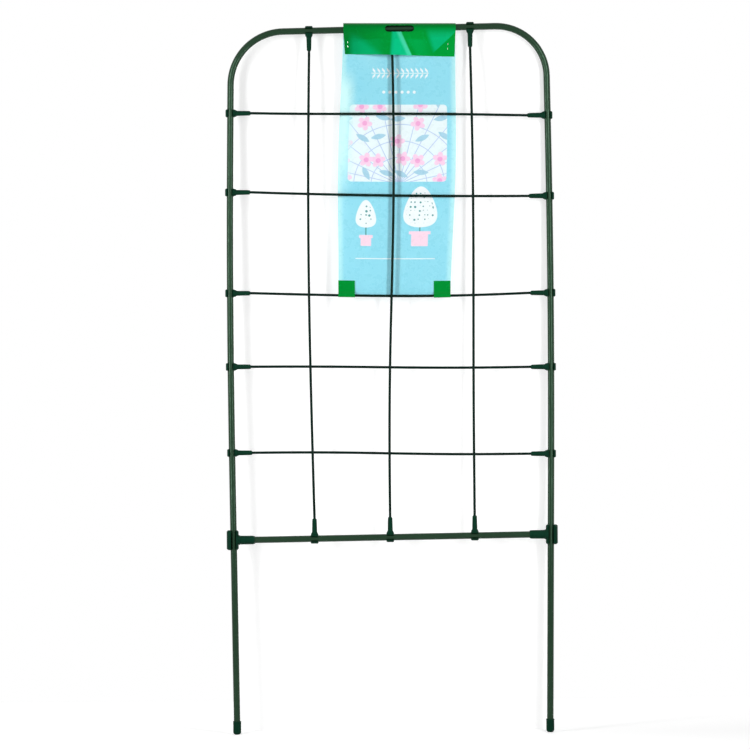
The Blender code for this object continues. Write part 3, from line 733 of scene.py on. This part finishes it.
GREEN_ROWS = 2
PANEL_ROWS = 120
WRAP_ROWS = 10
TAB_ROWS = 12
TAB_COLUMNS = 14
INNER_COLUMNS = 110
CM = 100.0


def third_wire_height(across):
    left, right, bow, swing = CROSS_WIRES[FIXED_CROSS_WIRE - 1]
    outside = CLIP_REACH + STRAIGHT_LEAD
    first = outside - half_spacing(left)
    last = half_spacing(right) - outside
    share = (across - first) / (last - first)
    return left + (right - left) * share + aside_at(share, bow, swing)


PANEL_LENGTH = FOLD_CENTRE - third_wire_height(CARD_OFFSET)


def between(start, end, share):
    return start + (end - start) * share


def pouch_depth(across, drop):
    """How far the header or the panel stands from the frame's plane, below the fold."""
    aside = min(abs(across - UPRIGHT_WIRES[1][1]) / BULGE_HALF_WIDTH, 1.0)
    closed = between(PINCH_GAP, BULGE_DEPTH, math.cos(math.pi / 2 * aside) ** 2)
    return between(FOLD_RADIUS, closed, eased(drop / (PINCH_DROP - FOLD_RADIUS)))


def crease_dent(across, drop):
    """How far the header is pressed back inside the crease that fans out below the slot."""
    apex, start = CREASE_APEX
    fan = min(max((drop - start) / (FLAP_LENGTH - start), 0.0), 1.0)
    left = between(apex, CREASE_FEET[0], fan)
    right = between(apex, CREASE_FEET[1], fan)
    if fan == 0.0 or across < left:
        return 0.0
    if across < right:
        return CREASE_DEPTH * fan * (across - left) / (right - left)
    return CREASE_DEPTH * fan * max(1 - (across - right) / CREASE_RETURN, 0.0) ** 2


def side_curl(across_share, share):
    """How far the panel's sides curl back, most at half its height."""
    curl = CURL_AT_LEFT if across_share < 0 else CURL_AT_RIGHT
    aside = max((abs(across_share) - CURL_START) / (1 - CURL_START), 0.0)
    return curl * aside ** 2 * math.sin(math.pi * share) ** 2


def card_point(across_share, along):
    """A point of the sheet's middle: across from -1 to 1, and along from the header's free edge."""
    fold_height = FOLD_CENTRE - across_share * FOLD_FALL / 2
    if along < FLAP_LENGTH:
        width = CARD_WIDTH - FLAP_DRAW_IN * (1 - along / FLAP_LENGTH)
        across = CARD_OFFSET + across_share * width / 2
        drop = (FLAP_LENGTH - along) * (1 + across_share * FLAP_TILT / 2 / FLAP_LENGTH)
        depth = crease_dent(across, drop) - pouch_depth(across, drop)
        return Vector((across, depth, fold_height - drop))
    along -= FLAP_LENGTH
    if along < FOLD_LENGTH:
        across = CARD_OFFSET + across_share * CARD_WIDTH / 2
        angle = along / FOLD_RADIUS
        return Vector((across, -FOLD_RADIUS * math.cos(angle),
                       fold_height + FOLD_RADIUS * math.sin(angle)))
    along -= FOLD_LENGTH
    share = min(along / PANEL_LENGTH, 1.0)
    width = CARD_WIDTH + 2 * CARD_SIDE_BOW * math.sin(math.pi * share) ** 2
    across = CARD_OFFSET + across_share * width / 2 - CARD_LEAN * share
    bottom = third_wire_height(across)
    if along <= PANEL_LENGTH:
        height = between(fold_height, bottom, share)
        run_back = eased((FOLD_TOP - RUN_BACK_DROP - height) / RUN_BACK_LENGTH)
        depth = between(pouch_depth(across, fold_height - height), PANEL_LAYER, run_back)
        return Vector((across, depth + side_curl(across_share, share), height))
    along -= PANEL_LENGTH
    if along < WRAP_LENGTH:
        angle = along / WRAP_RADIUS
        return Vector((across, LAYER_OFFSET + WRAP_RADIUS * math.cos(angle),
                       bottom - WRAP_RADIUS * math.sin(angle)))
    along -= WRAP_LENGTH
    tab_layer = PANEL_LAYER - CARD_THICKNESS - TOUCH_GAP
    depth = between(LAYER_OFFSET - WRAP_RADIUS, tab_layer, eased(along / TAB_RETURN))
    return Vector((across, depth, bottom + along))


def card_rows():
    """Lengths along the sheet at which it has a row of corners, and where the tabs start."""
    rows = [FLAP_LENGTH * step / FLAP_ROWS for step in range(FLAP_ROWS)]
    rows += [FLAP_LENGTH + FOLD_LENGTH * step / FOLD_ROWS for step in range(FOLD_ROWS)]
    panel_start = FLAP_LENGTH + FOLD_LENGTH
    rows += [panel_start + GREEN_ON_BACK * step / GREEN_ROWS for step in range(GREEN_ROWS)]
    rows += [panel_start + between(GREEN_ON_BACK, PANEL_LENGTH, step / PANEL_ROWS)
             for step in range(PANEL_ROWS)]
    tab_start = panel_start + PANEL_LENGTH
    rows += [tab_start + WRAP_LENGTH * step / WRAP_ROWS for step in range(WRAP_ROWS)]
    front_start = tab_start + WRAP_LENGTH
    rows += [front_start + TAB_LENGTH * step / TAB_ROWS for step in range(TAB_ROWS + 1)]
    return rows, panel_start, tab_start


def card_columns():
    """Places across the sheet, with an edge of each corner tab on one of them."""
    tab_edge = 1.0 - 2.0 * TAB_WIDTH / CARD_WIDTH
    side = [between(tab_edge, 1.0, step / TAB_COLUMNS) for step in range(1, TAB_COLUMNS + 1)]
    inner = [between(-tab_edge, tab_edge, step / INNER_COLUMNS) for step in range(INNER_COLUMNS + 1)]
    return [-place for place in side[::-1]] + inner + side, tab_edge


def card_surface():
    """A fine grid laid on the folded sheet, with its print's map in centimetres."""
    rows, panel_start, tab_start = card_rows()
    columns, tab_edge = card_columns()
    shape = bmesh.new()
    print_map = shape.loops.layers.uv.new("print")
    corners = [[shape.verts.new(card_point(across, along)) for across in columns]
               for along in rows]
    for row in range(len(rows) - 1):
        middle = (rows[row] + rows[row + 1]) / 2
        on_tabs = middle > tab_start
        on_panel = panel_start + GREEN_ON_BACK < middle < tab_start
        for column in range(len(columns) - 1):
            if on_tabs and abs(columns[column] + columns[column + 1]) / 2 < tab_edge:
                continue
            places = [(row, column), (row, column + 1), (row + 1, column + 1), (row + 1, column)]
            face = shape.faces.new([corners[up][over] for up, over in places])
            face.material_index = 1 if on_panel else 0
            for loop, (up, over) in zip(face.loops, places):
                across = columns[over] * CARD_WIDTH / 2 * CM
                down = (rows[up] - panel_start + FOLD_RADIUS) * CM
                loop[print_map].uv = (across, down)
    spare = [vert for vert in shape.verts if not vert.link_faces]
    bmesh.ops.delete(shape, geom=spare, context="VERTS")
    return mesh_from(shape, "hang_card")


HEADER_GREEN = (0.001, 0.296, 0.028)
HEADER_DEEP_GREEN = (0.001, 0.150, 0.014)
HEADER_GLEAM = (0.0, 0.80, 0.35, 1.0)
HEADER_ROUGHNESS = 0.26
PRINT_ROUGHNESS = 0.28
BACK_ROUGHNESS = 0.34
FILM_FINISH = dict(patch=0.030, grain=0.007, relief=0.00003)
# Painted sheen and painted highlight colours, for where the creased header film would reflect the
# lamps
SHEEN_TEAL = (0.004, 0.560, 0.270)
CREASE_HIGHLIGHT_TEAL = (0.090, 0.760, 0.500)
PANEL_BLUE = (0.240, 0.665, 0.812)
PANEL_PALE_BLUE = (0.285, 0.710, 0.832)
MARGIN_BLUE = (0.420, 0.820, 0.870)
GLARE_BLUE = (0.560, 0.900, 0.900)
BACK_BLUE = (0.520, 0.840, 0.890)
PRINT_WHITE = (0.840, 0.910, 0.930)
WINDOW_WHITE = (0.780, 0.900, 0.925)
ARCH_BLUE = (0.420, 0.560, 0.820)
LEAF_BLUE = (0.360, 0.620, 0.760)
SPECK_TEAL = (0.060, 0.300, 0.300)
BLOSSOM_PINK = (0.900, 0.620, 0.800)
BLOSSOM_DEEP_PINK = (0.840, 0.380, 0.660)
POT_PINK = (0.900, 0.660, 0.780)
# Places and sizes in centimetres, across from the card's middle and down from its fold
FOLD_SHADE = (1.5, 0.3)
FOLD_SHADE_DEPTH = 0.75
SIDE_SHADE = (-9.0, 1.5)
TAB_SHADE = 0.55
# Painted sheen and highlights on the creased header, in place of the lamps' reflections
PAINTED_CREASE_SHEEN = (
    # colour, strength, and the lines that bound it: start, end and how soft the edge is
    (SHEEN_TEAL, 0.72, (((-0.90, 0.95), (-1.15, 3.90), 0.50), ((1.42, 3.90), (-0.22, 0.95), 0.25),
                       ((9.0, 0.90), (-9.0, 0.90), 0.30))),
    (CREASE_HIGHLIGHT_TEAL, 0.60, (((-0.42, 0.95), (0.88, 3.90), 0.40),
                              ((1.44, 3.90), (0.12, 0.95), 0.20),
                              ((9.0, 0.85), (-9.0, 0.85), 0.30))),
    (SHEEN_TEAL, 0.56, (((3.4, 0.7), (4.5, 3.9), 0.80), ((4.30, 3.75), (6.95, 1.35), 0.12),
                       ((9.0, 1.25), (-9.0, 1.25), 1.50))),
    (SHEEN_TEAL, 0.34, (((-6.2, 1.2), (-6.2, 3.9), 1.0), ((-2.6, 3.9), (-5.6, 1.2), 1.20),
                       ((9.0, 1.80), (-9.0, 1.80), 1.80))),
)
INK_EDGE = 0.025
MARGIN_START = 6.30
MARGIN_END = 7.00
LEFT_GLARE = (-4.9, -6.6)
GLARE_HEIGHTS = ((5.0, 9.0), (23.0, 15.0))
WINDOW = ((0.05, 15.2), (6.0, 4.9), 0.45)
FAN_CENTRE = (0.3, 20.4)
FAN_RINGS = (3.4, 5.5, 7.6)
FAN_SPOKES = 14
FAN_LINE = 0.045
BLOSSOM_SPACING = 2.35
BLOSSOM_RADIUS = 0.92
BLOSSOM_HEART = 0.34
PETALS = 5
PETAL_SHARE = 0.42
LEAF_SHARE = 0.52
LEAF_HALF_LENGTH = 0.95
LEAF_HALF_WIDTH = 0.34
POTTED_BUSHES = (
    # middle of the bush, its half width and half height, half width and height of the pot
    ((-3.7, 24.2), 1.15, 1.75, 0.85, 1.4),
    ((3.0, 23.3), 1.90, 2.60, 1.35, 1.9),
)
BUSH_TAPER = 0.42
STEM_HALF_WIDTH = 0.08
POT_FOOT = 28.3
POT_RIM = 0.2
POT_RIM_CORNER = 0.06
POT_BOWL_SHARE = 0.78
POT_BOWL_CORNER = 0.12
SPECK_SPACING = 0.55
SPECK_SHARE = 0.34
SPECK_MARGIN = 0.30
SPRIG = ((0.2, 6.3), 3.6, 0.60)
SPRIG_LEAF_HEIGHT = 0.35
SPRIG_LEAF_HALF_WIDTH = 0.16
SPRIG_LEAN = 0.55
SPRIG_STALK_HALF_WIDTH = 0.04
DOT_ROW = ((0.1, 8.7), 2.28, 0.76)
DOT_RADIUS = 0.19
RULE = ((0.0, 29.9), (5.0, 0.05))


def film(name, deep, pale, roughness, **settings):
    """Glossy plastic film with faint waves and scuffs in its gloss."""
    return finished(name, deep, pale, "object", roughness=roughness, **FILM_FINISH, **settings)


def blended(under, over, mask):
    """One colour over another where the mask is 1."""
    under, over = [(*colour, 1.0) if isinstance(colour, tuple) else colour
                   for colour in (under, over)]
    return add_node(mask.id_data, "ShaderNodeMix", {0: mask, 6: under, 7: over},
                    data_type="RGBA").outputs[2]


def ramp(value, start, end):
    """0 at the start and 1 at the end, eased between them."""
    return add_node(value.id_data, "ShaderNodeMapRange", {
        "Value": value, "From Min": start, "From Max": end},
        interpolation_type="SMOOTHSTEP").outputs[0]


def inked(distance):
    """A crisp printed edge: 1 where the distance to the outline is negative."""
    return ramp(distance, INK_EDGE, -INK_EDGE)


def vector_calc(operation, *values):
    """The outputs of one Vector Math node, whose first value is a link."""
    return add_node(values[0].id_data, "ShaderNodeVectorMath", dict(enumerate(values)),
                    operation=operation).outputs


def to_slab(spot, middle, half_sizes, corner=0.0):
    """Distance to a rectangle with rounded corners, negative inside it."""
    aside = vector_calc("SUBTRACT", spot, (*middle, 0.0))[0]
    aside = vector_calc("ABSOLUTE", aside)[0]
    reach = (half_sizes[0] - corner, half_sizes[1] - corner, 1.0)
    beyond = vector_calc("SUBTRACT", aside, reach)[0]
    outside = vector_calc("MAXIMUM", beyond, (0.0, 0.0, 0.0))[0]
    parts = parts_of(beyond)
    inside = calc("MINIMUM", calc("MAXIMUM", parts[0], parts[1]), 0.0)
    length = vector_calc("LENGTH", outside)["Value"]
    return minus(calc("ADD", length, inside), corner)


def scattered(spot, spacing):
    """Cells scattered over the print: place in the cell, turned at random, and a random number."""
    tree = spot.id_data
    cells = add_node(tree, "ShaderNodeTexVoronoi", {
        "Vector": spot, "Scale": 1 / spacing, "Randomness": 0.5}, voronoi_dimensions="2D")
    local = vector_calc("SUBTRACT", spot, cells.outputs["Position"])[0]
    chance = add_node(tree, "ShaderNodeSeparateColor", {0: cells.outputs["Color"]}).outputs
    turned = add_node(tree, "ShaderNodeVectorRotate", {
        "Vector": local, "Angle": times(chance[0], math.tau)}, rotation_type="Z_AXIS")
    return turned.outputs[0], chance[1]


def with_blossoms(spot, colour, window):
    """Five-petalled blossoms and pointed leaves, scattered over the window."""
    local, kind = scattered(spot, BLOSSOM_SPACING)
    parts = parts_of(local)
    far = vector_calc("LENGTH", local)["Value"]
    heading = calc("ARCTAN2", parts[1], parts[0])
    wave = calc("COSINE", times(heading, PETALS / 2))
    reach = calc("MULTIPLY_ADD", calc("ABSOLUTE", wave),
                 BLOSSOM_RADIUS * PETAL_SHARE, BLOSSOM_RADIUS * (1 - PETAL_SHARE))
    blossom = inked(minus(far, reach))
    heart = inked(minus(far, BLOSSOM_RADIUS * BLOSSOM_HEART))
    length = calc("DIVIDE", calc("ABSOLUTE", parts[0]), LEAF_HALF_LENGTH)
    taper = times(minus(1.0, times(length, length)), LEAF_HALF_WIDTH)
    leaf = inked(minus(calc("ABSOLUTE", parts[1]), taper))
    is_blossom = calc("GREATER_THAN", kind, LEAF_SHARE)
    leaf = times(leaf, minus(1.0, is_blossom))
    colour = blended(colour, LEAF_BLUE, times(leaf, window))
    in_window = times(is_blossom, window)
    colour = blended(colour, BLOSSOM_PINK, times(in_window, blossom))
    return blended(colour, BLOSSOM_DEEP_PINK, times(in_window, heart))


def with_window(spot, colour):
    """A white window with rounded corners that shows blossoms on a fan-shaped trellis."""
    window = inked(to_slab(spot, *WINDOW))
    colour = blended(colour, WINDOW_WHITE, window)
    away = vector_calc("SUBTRACT", spot, (*FAN_CENTRE, 0.0))[0]
    far = vector_calc("LENGTH", away)["Value"]
    parts = parts_of(away)
    heading = calc("ARCTAN2", parts[1], parts[0])
    step = math.tau / FAN_SPOKES / 2
    off_spoke = calc("PINGPONG", heading, step / 2)
    lines = inked(minus(times(off_spoke, far), FAN_LINE))
    for radius in FAN_RINGS:
        ring = inked(minus(calc("ABSOLUTE", minus(far, radius)), FAN_LINE))
        lines = calc("MAXIMUM", lines, ring)
    colour = blended(colour, ARCH_BLUE, times(lines, window))
    return with_blossoms(spot, colour, window)


def with_potted_bushes(spot, colour):
    """White egg-shaped bushes with teal specks, each on a short stem in a pale pink pot."""
    local, kind = scattered(spot, SPECK_SPACING)
    far = vector_calc("LENGTH", local)["Value"]
    speck = inked(minus(far, times(kind, SPECK_SPACING * SPECK_SHARE)))
    parts = parts_of(spot)
    for (across, down), half_width, half_height, pot_half_width, pot_height in POTTED_BUSHES:
        pot_top = POT_FOOT - pot_height
        stem = to_slab(spot, (across, pot_top), (STEM_HALF_WIDTH, pot_height))
        colour = blended(colour, SPECK_TEAL, inked(stem))
        rim = to_slab(spot, (across, pot_top + POT_RIM), (pot_half_width, POT_RIM),
                      POT_RIM_CORNER)
        bowl = to_slab(spot, (across, (pot_top + POT_FOOT) / 2),
                       (pot_half_width * POT_BOWL_SHARE, pot_height / 2), POT_BOWL_CORNER)
        colour = blended(colour, POT_PINK, inked(calc("MINIMUM", rim, bowl)))
        up = calc("DIVIDE", minus(down, parts[1]), half_height)
        aside = calc("DIVIDE", minus(parts[0], across), half_width)
        aside = times(aside, calc("MULTIPLY_ADD", up, BUSH_TAPER, 1.0))
        reach = calc("SQRT", calc("ADD", times(up, up), times(aside, aside)))
        edge = times(minus(reach, 1.0), half_width)
        core = inked(calc("ADD", edge, SPECK_MARGIN))
        colour = blended(colour, PRINT_WHITE, inked(edge))
        colour = blended(colour, SPECK_TEAL, times(core, speck))
    return colour


def row_mark(place, row):
    """How far from a row's nearest mark, how far below the row, and on the row or not."""
    (across, down), half_length, spacing = row
    along = minus(place[0], across)
    on_row = calc("LESS_THAN", calc("ABSOLUTE", along), half_length)
    off = minus(calc("FLOORED_MODULO", along, spacing), spacing / 2)
    return off, minus(place[1], down), on_row


def with_ornaments(spot, colour):
    """A sprig of white leaves, a short row of dots and a thin rule."""
    place = parts_of(spot)
    marks = inked(to_slab(spot, *RULE))
    off, height, on_row = row_mark(place, SPRIG)
    height = calc("ABSOLUTE", height)
    from_stalk = minus(height, SPRIG_LEAF_HEIGHT)
    width = calc("MULTIPLY_ADD", calc("ABSOLUTE", from_stalk),
                 -SPRIG_LEAF_HALF_WIDTH / SPRIG_LEAF_HEIGHT, SPRIG_LEAF_HALF_WIDTH)
    lean = calc("ABSOLUTE", calc("MULTIPLY_ADD", from_stalk, SPRIG_LEAN, off))
    leaf = inked(minus(lean, width))
    stalk = inked(minus(height, SPRIG_STALK_HALF_WIDTH))
    marks = calc("MAXIMUM", marks, times(calc("MAXIMUM", leaf, stalk), on_row))
    off, height, on_row = row_mark(place, DOT_ROW)
    off_dot = add_node(spot.id_data, "ShaderNodeCombineXYZ", {0: off, 1: height}).outputs[0]
    far = vector_calc("LENGTH", off_dot)["Value"]
    dot = inked(minus(far, DOT_RADIUS))
    marks = calc("MAXIMUM", marks, times(dot, on_row))
    return blended(colour, PRINT_WHITE, marks)


def card_print():
    """The front of the panel: a light blue ground with pale margins, and the garden design."""
    material = film("card_print", PANEL_BLUE, PANEL_PALE_BLUE, PRINT_ROUGHNESS)
    tree = material.node_tree
    base = tree.nodes["Principled BSDF"].inputs["Base Color"]
    spot = add_node(tree, "ShaderNodeUVMap", uv_map="print").outputs[0]
    parts = parts_of(spot)
    across = calc("ABSOLUTE", parts[0])
    ground = base.links[0].from_socket
    for step in (with_window, with_potted_bushes, with_ornaments):
        ground = step(spot, ground)
    colour = blended(ground, MARGIN_BLUE, ramp(across, MARGIN_START, MARGIN_END))
    glare = ramp(parts[0], *LEFT_GLARE)
    for start, end in GLARE_HEIGHTS:
        glare = times(glare, ramp(parts[1], start, end))
    tree.links.new(blended(colour, GLARE_BLUE, glare), base)
    return material


def beside_line(spot, start, end, softness):
    """1 on the left-hand side of the way from start to end, fading to 0 across the line."""
    run, fall = end[0] - start[0], end[1] - start[1]
    length = math.hypot(run, fall)
    normal = (fall / length, -run / length, 0.0)
    reach = vector_calc("DOT_PRODUCT", spot, normal)["Value"]
    at_line = start[0] * normal[0] + start[1] * normal[1]
    return ramp(reach, at_line - softness / 2, at_line + softness / 2)


def card_green():
    """The header and the tabs: painted shade along the fold and towards the header's left, the tabs a
    little deeper all over, and a painted sheen and highlight where the header's film is creased.
    """
    material = film("card_green", HEADER_DEEP_GREEN, HEADER_GREEN, HEADER_ROUGHNESS,
                    gleam=HEADER_GLEAM)
    tree = material.node_tree
    place = add_node(tree, "ShaderNodeTexCoord").outputs["Object"]
    parts = parts_of(place)
    across = times(minus(parts[0], CARD_OFFSET), CM)
    down = times(minus(FOLD_TOP, parts[2]), CM)
    spot = add_node(tree, "ShaderNodeCombineXYZ", {0: across, 1: down}).outputs[0]
    on_header = calc("LESS_THAN", down, 2 * FLAP_LENGTH * CM)
    shade = calc("MULTIPLY_ADD", ramp(down, *FOLD_SHADE), -FOLD_SHADE_DEPTH, 1.0)
    shade = times(shade, ramp(across, *SIDE_SHADE))
    on_tabs = calc("MULTIPLY_ADD", on_header, -TAB_SHADE, TAB_SHADE)
    shade = calc("MULTIPLY_ADD", shade, on_header, on_tabs)
    colour = blended(HEADER_DEEP_GREEN, HEADER_GREEN, shade)
    # Painted sheen and highlights on the header, each patch bounded by its lines
    for mark, strength, lines in PAINTED_CREASE_SHEEN:
        mask = times(strength, on_header)
        for start, end, softness in lines:
            mask = times(mask, beside_line(spot, start, end, softness))
        colour = blended(colour, mark, mask)
    tree.links.new(colour, tree.nodes["Principled BSDF"].inputs["Base Color"])
    return material


def slot_cutter(depth=0.04, steps=16):
    """A slot with round ends, cut through both sides of the fold."""
    radius = SLOT_WIDTH / 2
    shape = bmesh.new()
    ring = []
    for end in (RIGHT, LEFT):
        for step in range(steps + 1):
            angle = math.pi * (step / steps - 0.5)
            across = end * (SLOT_LENGTH / 2 - radius + radius * math.cos(angle))
            ring.append(shape.verts.new((CARD_OFFSET + across, -depth / 2,
                                         FOLD_TOP - SLOT_DROP + end * radius * math.sin(angle))))
    cap = shape.faces.new(ring)
    pushed = bmesh.ops.extrude_face_region(shape, geom=[cap])["geom"]
    far_ring = [item for item in pushed if isinstance(item, bmesh.types.BMVert)]
    bmesh.ops.translate(shape, verts=far_ring, vec=(0.0, depth, 0.0))
    bmesh.ops.recalc_face_normals(shape, faces=shape.faces)
    return new_object("slot_cutter", mesh_from(shape, "slot_cutter"))


def make_hang_card():
    green = card_green()
    back = film("card_back", BACK_BLUE, PANEL_PALE_BLUE, BACK_ROUGHNESS)
    panel = card_print()
    mesh = card_surface()
    for material in (green, back, green, panel):
        mesh.materials.append(material)
    card = new_object("folded_hang_card", mesh)
    sheet = card.modifiers.new("sheet", "SOLIDIFY")
    sheet.thickness = CARD_THICKNESS
    sheet.offset = 0.0
    sheet.material_offset = 2
    cutter = slot_cutter()
    cut = card.modifiers.new("slot", "BOOLEAN")
    cut.operation = "DIFFERENCE"
    cut.solver = "EXACT"
    cut.object = cutter
    keep_result(card)
    bpy.data.objects.remove(cutter, do_unlink=True)
    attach(card, "frame")
    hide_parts("hang_card")


make_hang_card()


# Staples
# Two small staples of bright wire close the header at its lower corners. Their legs are clinched
# flat behind the sheet.

STAPLE_GREY = (0.30, 0.42, 0.34)
STAPLE_PALE_GREY = (0.42, 0.52, 0.46)
STAPLE_FINISH = dict(patch=0.002, grain=0.0003, relief=0.00001, roughness=0.24)


def make_staples():
    material = finished("staple_steel", STAPLE_GREY, STAPLE_PALE_GREY, "object", **STAPLE_FINISH)
    material.node_tree.nodes["Principled BSDF"].inputs["Metallic"].default_value = 1.0
    for node in ("staple_left", "staple_right"):
        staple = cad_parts[node]
        staple.data.materials.clear()
        staple.data.materials.append(material)


make_staples()

for spare in (rail_clip, wire_clip):
    bpy.data.objects.remove(spare, do_unlink=True)
